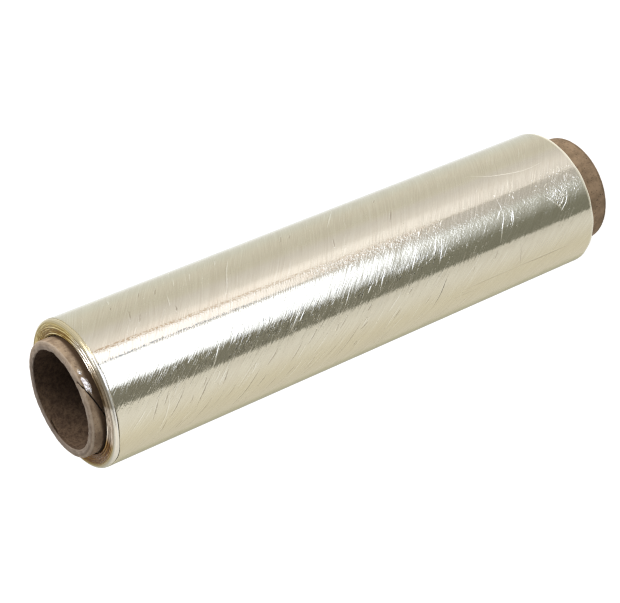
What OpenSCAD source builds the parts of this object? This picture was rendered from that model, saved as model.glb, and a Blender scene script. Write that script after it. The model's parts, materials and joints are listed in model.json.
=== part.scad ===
// Stretch wrap roll: clear stretch film wound on a spiral-wound paperboard core.
// Millimetres. +Z runs along the roll's axis. The origin is the centre of the
// core's lower end, on which the roll stands.

/* [Core] */
// Inner diameter of the paperboard core (nominal 2 inch hand-roll core)
core_id = 50; // [38:0.5:58]
// Wall thickness of the core
core_wall = 4.3; // [2:0.1:6]
// Length of the core, end to end
core_len = 325; // [319:1:520]
// Core left bare below the film
core_bare_bottom = 18; // [5:0.5:24]
// Chamfer worn onto the core's four cut edges
core_edge = 0.35; // [0.1:0.05:0.8]

/* [Film] */
// Width of the wound film, which is the length of the winding
film_w = 300; // [150:1:306]
// Outer diameter of the winding
film_od = 75; // [72:0.5:160]
// The last few turns stop this far short of the upper end
last_turns_setback = 2.3; // [2.1:0.1:5]
// Radial thickness of those last turns
last_turns_t = 0.12; // [0.05:0.01:0.3]
// Reach of the soft shoulder at the upper end, along the radius
shoulder_r = 2.2; // [0.8:0.1:3]
// Drop of the soft shoulder, along the axis
shoulder_z = 1.6; // [0.6:0.1:2]
// Number of ridges that uneven turns leave on each end face
ridge_count = 5; // [3:1:8]
// Depth of the valleys between those ridges
ridge_depth = 0.45; // [0.1:0.05:0.8]
// Corner radius of the winding's lower edge
lower_edge_r = 0.5; // [0.2:0.1:1.5]

/* [Hidden] */
$fn = 128;

core_ri = core_id / 2;
core_ro = core_ri + core_wall;
film_ro = film_od / 2;
film_z0 = core_bare_bottom;
film_z1 = film_z0 + film_w;
lip_r = film_ro - last_turns_t;      // radius that the last turns leave bare
face_ro = lip_r - shoulder_r;        // outer radius of the flat, ridged face

// Quarter-ellipse shoulder from the lip down to the ridged face.
function shoulder(n) = [
    for (i = [0 : n])
        let (a = 90 * i / n)
        [face_ro + shoulder_r * cos(a), film_z1 - shoulder_z + shoulder_z * sin(a)]
];

// Peaks and valleys of the ridged face, from radius a to radius b at height z.
// way is +1 where the face looks up and -1 where it looks down.
function ridges(a, b, z, depth, n, way) = [
    for (i = [1 : 2 * n - 1])
        let (r = a + (b - a) * i / (2 * n))
        [r, z - way * (i % 2 == 1 ? depth : 0)]
];

function lower_corner(n) = [
    for (i = [0 : n])
        let (a = -90 + 90 * i / n)
        [film_ro - lower_edge_r + lower_edge_r * cos(a),
         film_z0 + lower_edge_r + lower_edge_r * sin(a)]
];

// Spiral-wound paperboard tube. Its bore takes a spindle or a wrap dispenser.
module core_tube() {
    color([0.55, 0.45, 0.36])
    rotate_extrude()
    polygon([
        [core_ri + core_edge, 0],
        [core_ro - core_edge, 0],
        [core_ro, core_edge],
        [core_ro, core_len - core_edge],
        [core_ro - core_edge, core_len],
        [core_ri + core_edge, core_len],
        [core_ri, core_len - core_edge],
        [core_ri, core_edge]
    ]);
}

// All turns of the film as one solid, wound straight onto the core.
module film_roll() {
    color([0.86, 0.84, 0.72, 0.9])
    rotate_extrude()
    polygon(concat(
        [[core_ro, film_z0]],
        ridges(core_ro, film_ro - lower_edge_r, film_z0, ridge_depth / 2, ridge_count, -1),
        lower_corner(5),
        [[film_ro, film_z1 - last_turns_setback],
         [lip_r, film_z1 - last_turns_setback]],
        shoulder(6),
        ridges(face_ro, core_ro, film_z1, ridge_depth, ridge_count, 1),
        [[core_ro, film_z1]]
    ));
}

core_tube();
film_roll();
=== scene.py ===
"""Stretch wrap roll: looks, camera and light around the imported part.

Lengths in the numpy code are millimetres and are turned into metres when a mesh is made.
Angles round the roll are phi, counter-clockwise from +X seen from above.
"""

import json
import math

import bpy
import numpy as np
from mathutils import Matrix, Vector


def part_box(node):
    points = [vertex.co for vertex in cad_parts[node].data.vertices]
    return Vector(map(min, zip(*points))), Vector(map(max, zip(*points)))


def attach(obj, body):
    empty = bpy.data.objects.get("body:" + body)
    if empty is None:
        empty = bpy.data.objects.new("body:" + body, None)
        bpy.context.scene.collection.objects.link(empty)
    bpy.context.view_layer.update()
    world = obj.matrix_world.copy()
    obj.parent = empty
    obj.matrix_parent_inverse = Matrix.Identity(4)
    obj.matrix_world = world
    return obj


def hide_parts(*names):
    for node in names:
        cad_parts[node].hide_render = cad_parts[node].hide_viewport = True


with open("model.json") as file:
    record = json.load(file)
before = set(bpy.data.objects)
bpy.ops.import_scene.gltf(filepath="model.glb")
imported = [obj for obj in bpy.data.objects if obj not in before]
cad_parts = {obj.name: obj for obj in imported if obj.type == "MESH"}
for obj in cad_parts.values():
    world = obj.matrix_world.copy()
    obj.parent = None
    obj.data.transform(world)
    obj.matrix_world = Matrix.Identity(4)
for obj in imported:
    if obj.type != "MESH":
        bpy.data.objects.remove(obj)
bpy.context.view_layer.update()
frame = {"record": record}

TAU = 2 * math.pi


# ---------------------------------------------------------------- sizes, from the frame
def mm(v):
    return [1000 * x for x in v]


core_lo, core_hi = (mm(v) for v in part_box("core_tube"))
film_lo, film_hi = (mm(v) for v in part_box("film_roll"))
CORE_RI = next(m for m in frame["record"]["mounts"] if m["name"] == "core_bore")["dims"]["r_mm"]
CORE_RO = round(core_hi[0], 1)
CORE_Z1 = core_hi[2]
FILM_RO = round(film_hi[0], 1)
FILM_Z0, FILM_Z1 = film_lo[2], film_hi[2]
LAST_Z1 = FILM_Z1 - 2.3            # where the last turns stop
SLOPE = math.tan(math.radians(36))  # wrinkles fall by this much for each mm of way round
BEND = 0.25                        # and that changes by this much round the roll


# ---------------------------------------------------------------- helpers: noise
class Field:
    """Smooth periodic noise on the unrolled wall, made from filtered white noise.

    s runs round the roll (period ls), z along it (period lz), both in mm. k0 is the middle
    frequency in cycles per mm, and lean the direction of the streaks, None for no direction."""

    def __init__(self, seed, k0, spread=0.45, lean=None, fan=8.0, ls=TAU * 37.5, lz=340.0, step=0.3):
        ns, nz = int(ls / step), int(lz / step)
        rng = np.random.default_rng(seed)
        f = np.fft.rfft2(rng.standard_normal((ns, nz)))
        ks = np.fft.fftfreq(ns, d=ls / ns)[:, None]
        kz = np.fft.rfftfreq(nz, d=lz / nz)[None, :]
        k = np.hypot(ks, kz)
        k[0, 0] = 1e-9
        g = np.exp(-np.log(k / k0) ** 2 / (2 * spread**2))
        if lean is not None:
            across = math.atan2(math.cos(lean), math.sin(lean))
            d = np.arctan2(kz, ks) - across
            d = (d + math.pi / 2) % math.pi - math.pi / 2
            g = g * np.exp(-(d**2) / (2 * math.radians(fan) ** 2))
        g[0, 0] = 0
        v = np.fft.irfft2(f * g, s=(ns, nz))
        self.v = v / v.std()
        self.ns, self.nz, self.ls, self.lz = ns, nz, ls, lz

    def __call__(self, s, z):
        a = (np.asarray(s) / self.ls % 1.0) * self.ns
        b = (np.asarray(z) / self.lz % 1.0) * self.nz
        i, j = np.floor(a).astype(int), np.floor(b).astype(int)
        u, w = a - i, b - j
        i0, j0 = i % self.ns, j % self.nz
        i1, j1 = (i + 1) % self.ns, (j + 1) % self.nz
        v = self.v
        return (v[i0, j0] * (1 - u) + v[i1, j0] * u) * (1 - w) + (v[i0, j1] * (1 - u) + v[i1, j1] * u) * w


def ring_noise(seed, phi, lo, hi):
    """Periodic noise round the axis: a sum of harmonics lo to hi, about one in size."""
    rng = np.random.default_rng(seed)
    out = np.zeros_like(phi)
    for n in range(lo, hi + 1):
        out = out + rng.standard_normal() * np.cos(n * phi + rng.uniform(0, TAU))
    return out / math.sqrt((hi - lo + 1) / 2)


def step(a, b, x):
    t = np.clip((np.asarray(x, float) - a) / (b - a), 0, 1)
    return t * t * (3 - 2 * t)


def bell(x, w):
    return np.exp(-((x / w) ** 2))


def wrap(a):
    return (a + math.pi) % TAU - math.pi


# ---------------------------------------------------------------- helpers: meshes
def grid_object(name, points, faces, attributes=None, sharp=None):
    mesh = bpy.data.meshes.new(name)
    faces = np.asarray(faces, np.int32)
    mesh.vertices.add(len(points))
    mesh.vertices.foreach_set("co", (np.asarray(points, float) / 1000).ravel())
    mesh.loops.add(faces.size)
    mesh.loops.foreach_set("vertex_index", faces.ravel())
    mesh.polygons.add(len(faces))
    mesh.polygons.foreach_set("loop_start", np.arange(0, faces.size, faces.shape[1], dtype=np.int32))
    mesh.polygons.foreach_set("use_smooth", np.ones(len(faces), bool))
    mesh.update(calc_edges=True)
    for key, values in (attributes or {}).items():
        layer = mesh.attributes.new(key, "FLOAT", "POINT")
        layer.data.foreach_set("value", np.asarray(values, float).ravel())
    if sharp is not None:
        ends = np.empty(2 * len(mesh.edges), np.int32)
        mesh.edges.foreach_get("vertices", ends)
        a, b = sharp[ends[0::2]], sharp[ends[1::2]]
        layer = mesh.attributes.new("sharp_edge", "BOOLEAN", "EDGE")
        layer.data.foreach_set("value", (a > 0) & (a == b))
    mesh.validate()
    obj = bpy.data.objects.new(name, mesh)
    bpy.context.collection.objects.link(obj)
    return obj


def loop_mesh(name, rings, attributes=None, loose=()):
    """Closed mesh from rings of equal size, each joined to the next point for point.

    After the rings whose numbers are in loose, and after the last, the next ring may start
    at another angle, and is matched by angle."""
    m, n, _ = rings.shape
    i = np.arange(n)
    faces = []
    for j in range(m):
        k = (j + 1) % m
        off = 0
        if j in loose or k == 0:
            a0 = math.atan2(rings[j, 0, 1], rings[j, 0, 0])
            ang = np.arctan2(rings[k, :, 1], rings[k, :, 0])
            off = int(np.argmin(np.abs(wrap(ang - a0))))
        a, b = j * n + i, j * n + (i + 1) % n
        c, d = k * n + (i + 1 + off) % n, k * n + (i + off) % n
        faces.append(np.stack([a, b, c, d], 1))
    return grid_object(name, rings.reshape(-1, 3), np.concatenate(faces), attributes)


def ring(phi, r, z):
    """One ring of points at angles phi. r and z are numbers or change round the ring."""
    one = np.ones_like(phi)
    return np.stack([r * np.cos(phi), r * np.sin(phi), z * one], 1)


# ---------------------------------------------------------------- helpers: shader nodes
class Nodes:
    """Short calls for building a node tree. Values are sockets or plain numbers."""

    def __init__(self, tree):
        self.t = tree

    def new(self, kind, **props):
        n = self.t.nodes.new(kind)
        for k, v in props.items():
            setattr(n, k, v)
        return n

    def put(self, socket, value):
        if isinstance(value, bpy.types.NodeSocket):
            self.t.links.new(value, socket)
        else:
            socket.default_value = value

    def math(self, op, a, b=None, c=None, clamp=False):
        n = self.new("ShaderNodeMath", operation=op, use_clamp=clamp)
        for s, v in zip(n.inputs, (a, b, c)):
            if v is not None:
                self.put(s, v)
        return n.outputs[0]

    def add(self, a, b):
        return self.math("ADD", a, b)

    def sub(self, a, b):
        return self.math("SUBTRACT", a, b)

    def mul(self, a, b):
        return self.math("MULTIPLY", a, b)

    def ramp(self, x, a, b, lo=0.0, hi=1.0, smooth=True):
        """x from a to b becomes lo to hi."""
        n = self.new("ShaderNodeMapRange", interpolation_type="SMOOTHSTEP" if smooth else "LINEAR")
        for s, v in zip(n.inputs, (x, a, b, lo, hi)):
            self.put(s, v)
        return n.outputs[0]

    def edge(self, x, at, soft):
        """0 below the place at, 1 above it, over a width of soft."""
        return self.ramp(self.sub(x, at), -0.5 * soft, 0.5 * soft)

    def line(self, x, at, half):
        """1 on the place at, and 0 from half away."""
        return self.ramp(self.math("ABSOLUTE", self.sub(x, at)), 0.35 * half, half, 1.0, 0.0)

    def band(self, x, a0, a1, b0, b1):
        """1 between a1 and b0, 0 below a0 and above b1."""
        return self.mul(self.ramp(x, a0, a1), self.ramp(x, b0, b1, 1.0, 0.0))

    def curve(self, x, points):
        """Straight stretches through points of (x, value)."""
        xs, vs = zip(*points)
        lo, span = min(vs), (max(vs) - min(vs)) or 1.0
        n = self.new("ShaderNodeValToRGB")
        self.put(n.inputs[0], self.ramp(x, xs[0], xs[-1], smooth=False))
        el = n.color_ramp.elements
        for e, v in ((el[0], vs[0]), (el[1], vs[-1])):
            e.color = (*([(v - lo) / span] * 3), 1.0)
        for a, v in points[1:-1]:
            e = el.new((a - xs[0]) / (xs[-1] - xs[0]))
            e.color = (*([(v - lo) / span] * 3), 1.0)
        return self.math("MULTIPLY_ADD", n.outputs[0], span, lo)

    def mix(self, f, a, b, kind="MIX"):
        n = self.new("ShaderNodeMix", data_type="RGBA", blend_type=kind)
        self.put(n.inputs[0], f)
        for s, v in ((n.inputs[6], a), (n.inputs[7], b)):
            self.put(s, (*v, 1.0) if isinstance(v, tuple) else v)
        return n.outputs[2]

    def tint(self, colour, level):
        """A plain colour times a level."""
        n = self.new("ShaderNodeVectorMath", operation="SCALE")
        n.inputs[0].default_value = colour
        self.put(n.inputs["Scale"], level)
        return n.outputs[0]

    def noise(self, vector, scale, detail=3.0, rough=0.5, distortion=0.0):
        n = self.new("ShaderNodeTexNoise")
        self.put(n.inputs["Vector"], vector)
        n.inputs["Scale"].default_value = scale
        n.inputs["Detail"].default_value = detail
        n.inputs["Roughness"].default_value = rough
        n.inputs["Distortion"].default_value = distortion
        return n.outputs["Fac"]

    def scaled(self, vector, xyz):
        n = self.new("ShaderNodeVectorMath", operation="MULTIPLY")
        self.put(n.inputs[0], vector)
        n.inputs[1].default_value = xyz
        return n.outputs[0]

    def joined(self, a, b):
        n = self.new("ShaderNodeCombineXYZ")
        self.put(n.inputs[0], a)
        self.put(n.inputs[2], b)
        return n.outputs[0]

    def split(self, vector):
        n = self.new("ShaderNodeSeparateXYZ")
        self.put(n.inputs[0], vector)
        return n.outputs

    def attribute(self, name):
        return self.new("ShaderNodeAttribute", attribute_name=name).outputs["Fac"]

    def bump(self, height, distance, strength=1.0, normal=None):
        n = self.new("ShaderNodeBump")
        n.inputs["Strength"].default_value = strength
        n.inputs["Distance"].default_value = distance
        self.put(n.inputs["Height"], height)
        if normal is not None:
            self.put(n.inputs["Normal"], normal)
        return n.outputs[0]


def material(name):
    mat = bpy.data.materials.new(name)
    mat.use_nodes = True
    mat.node_tree.nodes.clear()
    n = Nodes(mat.node_tree)
    shader = n.new("ShaderNodeBsdfPrincipled")
    out = n.new("ShaderNodeOutputMaterial")
    mat.node_tree.links.new(shader.outputs[0], out.inputs["Surface"])
    return mat, n, shader


# ---------------------------------------------------------------- camera
CAM_AT = Vector((-0.00247, -0.8194, 0.6534))
CAM_X = Vector((-0.38542, -0.46155, -0.79901)).normalized()
CAM_Z = Vector((0.0, -0.86592, 0.50019)).normalized()
CAM_Y = CAM_Z.cross(CAM_X)
camera = bpy.data.objects.new("camera", bpy.data.cameras.new("camera"))
camera.matrix_world = Matrix(
    [[CAM_X[i], CAM_Y[i], CAM_Z[i], CAM_AT[i]] for i in range(3)] + [[0, 0, 0, 1]]
)
camera.data.sensor_fit = "HORIZONTAL"
camera.data.sensor_width = 36.0
camera.data.lens = 36.0 * 1875 / 620
camera.data.clip_start = 0.02
bpy.context.collection.objects.link(camera)
bpy.context.scene.camera = camera


# ---------------------------------------------------------------- the last turns: the outer wall
LEAN = math.atan(SLOPE)
FINE = Field(11, 0.60, 0.30, LEAN, 7.0)
MID = Field(12, 0.28, 0.35, LEAN, 9.0)
SOFT = Field(13, 0.045, 0.5, LEAN, 25.0)
PATCH = Field(14, 0.03, 0.5)
TUCK = Field(15, 0.50, 0.30, LEAN, 5.0)
GATE = Field(16, 0.05, 0.5, LEAN, 14.0)
CRUMPLE = Field(17, 0.40, 0.40)


def zone(phi, z, phi_mid, phi_half, z_mid, z_half):
    """Soft oval patch on the wall, 1 in its middle."""
    d = wrap(phi - math.radians(phi_mid)) / math.radians(phi_half)
    return np.exp(-((d**2 + ((z - z_mid) / z_half) ** 2) ** 1.5))


def crinkled(phi, z):
    """How much the outer turn is crinkled, 0 to about 1."""
    first = np.radians(np.interp(z, [20, 168, 190, 245, 270, 315], [-75.5, -73.1, -72.0, -70.6, -69.4, -68]))
    second = np.radians(np.interp(z, [190, 227, 270, 315], [-78.7, -80, -79, -77.5]))
    a = 0.45 * bell(wrap(phi - first), math.radians(2.0)) * step(160, 200, z)
    a = a + 0.90 * bell(wrap(phi - first + math.radians(1.5)), math.radians(3.4)) * step(108, 135, z) * step(205, 176, z)
    a = a + 0.35 * bell(wrap(phi - second), math.radians(1.0)) * step(190, 215, z)
    b = (0.20 + 0.18 * step(140, 108, z)) * step(205, 140, z) * bell(wrap(phi - math.radians(-89)), math.radians(13))
    c = 0.25 * zone(phi, z, -82, 20, 32, 15) + 0.35 * step(297, 312, z) * bell(wrap(phi - math.radians(-117)), math.radians(20))
    d = 0.30 * zone(phi, z, 60, 40, 70, 45) + 0.25 * zone(phi, z, 160, 30, 190, 60)
    return np.clip(a + b + c + d, 0, 1)


def smooth_part(phi, z):
    """Where the outer turn lies smoother, 0 to 1."""
    a = bell(wrap(phi - np.radians(-74.0)), math.radians(9.0)) * step(150, 200, z)
    b = 0.7 * bell(wrap(phi - np.radians(-112.0)), math.radians(4.0))
    c = 0.95 * bell(wrap(phi - np.radians(-90.0)), math.radians(13.0)) * step(140, 108, z)
    side = step(math.radians(-70), math.radians(-60), wrap(phi)) * step(math.radians(10), math.radians(-5), wrap(phi))
    return np.clip(a + b + c + 0.70 * side * step(140, 60, z), 0, 1)


def wall_relief(phi, z):
    """Height of the outer film over its cylinder, in mm, from its wrinkles and creases."""
    s = phi * FILM_RO
    even = 1 - 0.6 * smooth_part(phi, z)
    zb = z + BEND * FILM_RO * np.sin(phi + math.radians(150))
    strong = 0.6 + 0.4 * np.tanh(PATCH(s, z))
    hairy = bell(wrap(phi - math.radians(-101)), math.radians(9)) * step(105, 150, z)
    even = even * (1 - 0.20 * bell(wrap(phi - math.radians(-91)), math.radians(10)) * step(215, 190, z))
    h = even * (0.0026 * (1 + (0.55 + 0.65 * step(190, 215, z)) * hairy) * FINE(s, zb) * strong + 0.0040 * (1 - 0.5 * hairy) * MID(s, zb)) + 0.010 * SOFT(s, zb)
    # sharp little tucks, where a slow and a quick field both peak
    gate = np.clip(GATE(s, zb) - 0.8, 0, 2)
    h = h + 0.010 * even * gate * np.clip(TUCK(s, zb), 0, 3)
    return h + 0.008 * CRUMPLE(s, z) * crinkled(phi, z)


def low_edge(phi):
    """The winding's lower end is not quite square to the axis."""
    return -0.6 + 1.5 * np.cos(phi + math.radians(35))


def edge_drop(phi):
    """Further round the back the last turns stop a little lower."""
    return 0.8 * bell(wrap(phi - math.radians(-153)), math.radians(15))


def last_turns():
    n = 424
    zb = FILM_Z0 + 0.05
    zt = LAST_Z1
    rows = np.concatenate([np.linspace(zb + 0.6, 60, 34, endpoint=False), np.linspace(60, zt - 0.12, 176)])
    base = np.arange(n) * TAU / n
    turns = -(rows - rows[-1]) / (FILM_RO * SLOPE)
    phi = base[None, :] + turns[:, None]
    zz = rows[:, None] + low_edge(phi) * step(66, 18, rows)[:, None]
    relief = wall_relief(phi, zz)
    r = FILM_RO + relief * (0.35 + 0.65 * step(0, 3.0, zt - zz))
    wall = np.stack([r * np.cos(phi), r * np.sin(phi), zz], 2)
    t0, t1 = turns[0], turns[-1]
    top_wave = 0.12 * ring_noise(21, base, 3, 24) - edge_drop(base + t1)
    low_wave = 0.10 * ring_noise(22, base + t0, 2, 18) + low_edge(base + t0)
    wall[-1, :, 2] += top_wave
    wall[-2, :, 2] += top_wave * 0.5
    wall[0, :, 2] += low_wave - low_edge(base + t0)
    # over the top edge and down inside, then back out under the lower edge
    rings = [
        ring(base + t1, FILM_RO - 0.10, zt + top_wave),
        ring(base + t1, FILM_RO - 0.45, zt - 0.3 + top_wave),
        ring(base + t0, FILM_RO - 0.95, zb + 1.6 + low_wave),
        ring(base + t0, FILM_RO - 0.60, zb + low_wave),
        ring(base + t0, FILM_RO - 0.28, zb + 0.05 + low_wave),
        ring(base + t0, FILM_RO - 0.08, zb + 0.22 + low_wave),
    ]
    rings = np.concatenate([wall, np.array(rings)])
    m = len(rows)
    phis = np.concatenate([phi, np.broadcast_to(base + t1, (2, n)), np.broadcast_to(base + t0, (4, n))])
    crinkle = crinkled(phis, rings[:, :, 2])
    silver = step(200, 140, rings[:, :, 2]) * bell(wrap(phis - np.radians(-90.0)), math.radians(12.0))
    streaky = 1 - 0.75 * smooth_part(phis, rings[:, :, 2]) - 0.35 * silver
    rim = np.zeros(rings.shape[:2])
    rim[0] = 0.5
    rim[m + 2 :] = 1.0
    return loop_mesh("film_last_turns", rings, {"crinkle": crinkle, "streaky": streaky, "rim": rim}, loose={m + 1})


outer = last_turns()


# ---------------------------------------------------------------- tucks and scratches in the outer turn
class Strips:
    """Low rounded ridges that lie on the wall, gathered into one mesh."""

    profile = np.array([-1.0, -0.72, -0.36, 0.0, 0.36, 0.72, 1.0])

    def __init__(self):
        self.points, self.faces, self.flags, self.shades, self.count = [], [], [], [], 0

    def add(self, line, width, height, wobble=0.06, seed=1, segment=0.7, shade=0.0):
        """line is a list of (phi in degrees, z in mm). Both ends run out to nothing.

        shade is painted shade (below 0) or painted highlight (above 0) on the ridge; one flank is painted the other
        way, a shadow beside a highlight."""
        line = np.array(line, float)
        s = np.radians(line[:, 0]) * FILM_RO
        z = line[:, 1]
        run = np.concatenate([[0], np.cumsum(np.hypot(np.diff(s), np.diff(z)))])
        m = max(5, int(run[-1] / segment) + 1)
        t = np.linspace(0, run[-1], m)
        rng = np.random.default_rng(seed)
        sm, zm = np.interp(t, run, s), np.interp(t, run, z)
        if len(line) > 2:
            k = np.array([0.25, 0.5, 0.25])
            for _ in range(3):
                sm[1:-1], zm[1:-1] = np.convolve(sm, k, "valid"), np.convolve(zm, k, "valid")
        ds, dz = np.gradient(sm), np.gradient(zm)
        d = np.hypot(ds, dz)
        side = rng.standard_normal(m)
        side = np.convolve(side, [0.25, 0.5, 0.25], "same") * wobble
        ns, nz = -dz / d, ds / d
        sm, zm = sm + side * ns, zm + side * nz
        u = np.linspace(0, 1, m)
        taper = np.sin(math.pi * np.clip(u, 0.02, 0.98)) ** 0.6
        w = 0.5 * width * taper * (1 + 0.12 * rng.standard_normal(m))
        h = height * taper
        rows = []
        for c in self.profile:
            p, q = (sm + c * w * ns) / FILM_RO, zm + c * w * nz
            lift = h * (0.5 + 0.5 * math.cos(math.pi * c)) - 0.0045
            r = FILM_RO + wall_relief(p, q) + lift
            rows.append(np.stack([r * np.cos(p), r * np.sin(p), q], 1))
        p = sm / FILM_RO
        r = FILM_RO - 0.10 + 0 * p
        rows.append(np.stack([r * np.cos(p), r * np.sin(p), zm], 1))
        pts = np.stack(rows, 1)                       # stations, points round, xyz
        pts[0] = pts[0].mean(0)
        pts[-1] = pts[-1].mean(0)
        k = pts.shape[1]
        base = self.count
        inner = pts[1:-1].reshape(-1, 3)
        self.points.append(pts[0][:1])
        self.points.append(inner)
        self.points.append(pts[-1][:1])
        mm_ = m - 2
        flag = np.zeros((mm_, k), int)
        flag[:, 0], flag[:, k - 2] = 2 * self.count + 1, 2 * self.count + 2
        # painted shade and highlight across the ridge, one flank opposite to the rest
        tone = shade * taper[1:-1, None] * np.array([0.6, 1.0, 1.0, 0.8, -0.2, -0.7, -0.3, 0.0])[None, :]
        self.shades.append(np.concatenate([[0], tone.ravel(), [0]]))
        self.flags.append(np.concatenate([[0], flag.ravel(), [0]]))
        i = np.arange(k)
        first, last = base, base + 1 + mm_ * k
        for j in range(mm_ - 1):
            a, b = base + 1 + j * k + i, base + 1 + j * k + (i + 1) % k
            c, e = b + k, a + k
            self.faces += [(a[q], e[q], c[q], b[q]) for q in range(k)]
        a, b = base + 1 + i, base + 1 + (i + 1) % k
        self.faces += [(first, a[q], b[q]) for q in range(k)]
        a, b = base + 1 + (mm_ - 1) * k + i, base + 1 + (mm_ - 1) * k + (i + 1) % k
        self.faces += [(last, b[q], a[q]) for q in range(k)]
        self.count += 2 + mm_ * k

    def finish(self, name):
        pts = np.concatenate(self.points) / 1000
        flags = np.concatenate(self.flags)
        mesh = bpy.data.meshes.new(name)
        mesh.from_pydata(pts.tolist(), [], [tuple(int(v) for v in f) for f in self.faces])
        mesh.polygons.foreach_set("use_smooth", np.ones(len(mesh.polygons), bool))
        ends = np.empty(2 * len(mesh.edges), np.int32)
        mesh.edges.foreach_get("vertices", ends)
        a, b = flags[ends[0::2]], flags[ends[1::2]]
        layer = mesh.attributes.new("sharp_edge", "BOOLEAN", "EDGE")
        layer.data.foreach_set("value", (a > 0) & (a == b))
        layer = mesh.attributes.new("shade", "FLOAT", "POINT")
        layer.data.foreach_set("value", np.concatenate(self.shades))
        mesh.validate()
        obj = bpy.data.objects.new(name, mesh)
        bpy.context.collection.objects.link(obj)
        return obj


def slope_at(phi):
    return SLOPE + BEND * np.cos(phi + math.radians(150))


def tucks():
    """Two pieces: the folds and scratches that stand out, and the many faint ones."""
    strips, faint = Strips(), Strips()
    # the plain ones, each (points, width, height)
    named = [
        ([(-112.3, 263.0), (-105.3, 259.5), (-96.3, 255.3)], 0.75, 0.070),
        ([(-86.0, 74.8), (-90.4, 75.8), (-93.9, 77.0), (-99.5, 79.3), (-109.6, 82.8)], 0.75, 0.045),
        ([(-74.5, 75.0), (-78.6, 74.9), (-82.1, 74.9), (-88.9, 75.6)], 0.60, 0.020),
        ([(-70.9, 74.9), (-74.6, 75.0)], 0.90, 0.050),
        ([(-88.5, 68.9), (-93.5, 70.9), (-97.9, 72.5)], 0.90, 0.080),
        ([(-76.0, 66.6), (-77.6, 66.2)], 0.8, 0.06),
        ([(-77.2, 65.2), (-79.6, 65.0), (-81.6, 65.4)], 0.6, 0.05),
        ([(-75.4, 63.3), (-77.0, 63.7)], 0.7, 0.05),
        ([(-86.3, 68.4), (-94.4, 70.0), (-100.9, 72.9)], 0.55, 0.035),
        ([(-84.6, 59.9), (-89.0, 60.1)], 0.6, 0.04),
        ([(-85.9, 131.7), (-93.8, 136.0), (-102.9, 140.6)], 0.85, 0.085),
        ([(-84.2, 131.6), (-90.0, 134.9), (-95.5, 138.0)], 0.80, 0.028),
        ([(-85.3, 119.8), (-94.0, 122.7), (-98.7, 125.0)], 0.75, 0.070),
        ([(-87.0, 116.7), (-96.0, 118.9), (-106.2, 123.4)], 0.65, 0.060),
        ([(-92.4, 154.2), (-98.7, 157.9), (-103.1, 160.3)], 0.60, 0.055),
        ([(-96.7, 178.0), (-101.8, 180.5), (-107.4, 183.6)], 0.60, 0.055),
        ([(-91.4, 154.3), (-98.6, 157.7), (-107.0, 161.8)], 0.55, 0.060),
        ([(-100.2, 165.5), (-103.2, 167.5), (-105.5, 169.2)], 0.75, 0.075),
        ([(-97.5, 209.2), (-103.3, 213.1), (-109.7, 217.3)], 0.60, 0.055),
        ([(-98.0, 206.0), (-101.5, 208.4), (-105.0, 210.9)], 0.65, 0.060),
        ([(-96.4, 271.2), (-99.4, 272.8), (-101.4, 274.7)], 0.50, 0.045),
        ([(-75.8, 148.4), (-78.5, 150.2), (-82.0, 152.3)], 1.00, 0.080),
        ([(-75.0, 143.4), (-77.5, 145.0), (-80.6, 146.8)], 1.00, 0.080),
        ([(-75.4, 126.1), (-78.0, 127.8), (-80.4, 129.4)], 1.00, 0.085),
        ([(-74.8, 110.9), (-76.5, 112.9), (-78.8, 114.6)], 0.90, 0.075),
        ([(-76.5, 138.0), (-79.5, 140.3)], 0.70, 0.050),
        ([(-75.6, 131.0), (-77.2, 133.2)], 0.80, 0.050),
        ([(-77.0, 158.5), (-80.0, 161.0)], 0.80, 0.060),
        # the curved scratch on the upper side
        ([(-45.8, 80.0), (-47.2, 78.6), (-51.1, 74.4), (-55.3, 68.4), (-58.2, 61.0), (-60.3, 54.9), (-61.6, 48.6), (-61.6, 41.0), (-60.4, 36.0)], 0.42, 0.034),
        # a small fold near the lower end: its two edges, and the bits round it
        ([(-89.0, 45.6), (-96.0, 42.0), (-103.6, 38.2), (-105.2, 37.4)], 0.85, 0.070),
        ([(-104.9, 39.4), (-103.6, 38.2), (-99.4, 34.4), (-95.0, 32.4), (-88.8, 31.6)], 0.70, 0.075),
        ([(-99.6, 38.6), (-97.6, 36.4), (-94.2, 34.6)], 0.75, 0.080),
        ([(-100.4, 39.4), (-98.6, 37.6)], 0.90, 0.070),
        ([(-94.4, 34.4), (-92.6, 34.2)], 0.90, 0.070),
        ([(-82.0, 44.8), (-80.6, 42.9), (-79.2, 40.5)], 0.65, 0.100),
        ([(-82.8, 43.4), (-84.6, 42.8)], 0.90, 0.070),
        ([(-86.0, 33.9), (-88.0, 33.5)], 1.00, 0.060),
        ([(-85.4, 28.9), (-87.4, 28.4)], 1.00, 0.070),
        ([(-90.6, 25.6), (-93.4, 26.2)], 0.70, 0.060),
        ([(-83.6, 30.6), (-80.6, 29.3), (-77.4, 28.2)], 0.65, 0.055),
        ([(-82.4, 25.9), (-79.0, 24.3)], 0.65, 0.070),
        ([(-80.8, 27.2), (-77.0, 26.1)], 0.65, 0.070),
        ([(-77.2, 48.6), (-79.0, 48.4)], 0.80, 0.055),
        ([(-71.4, 48.7), (-73.6, 48.7)], 0.90, 0.045),
        ([(-70.4, 36.9), (-72.0, 36.4)], 0.90, 0.045),
        ([(-71.2, 32.4), (-74.4, 34.0)], 0.80, 0.050),
        ([(-74.4, 32.4), (-76.0, 31.9)], 0.90, 0.060),
        ([(-72.8, 30.7), (-74.2, 30.2)], 0.95, 0.060),
        ([(-71.6, 27.9), (-73.0, 27.2)], 0.80, 0.045),
        ([(-72.4, 25.5), (-73.4, 24.6)], 0.80, 0.040),
        ([(-71.8, 22.6), (-73.6, 22.0)], 1.00, 0.060),
    ]
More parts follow.
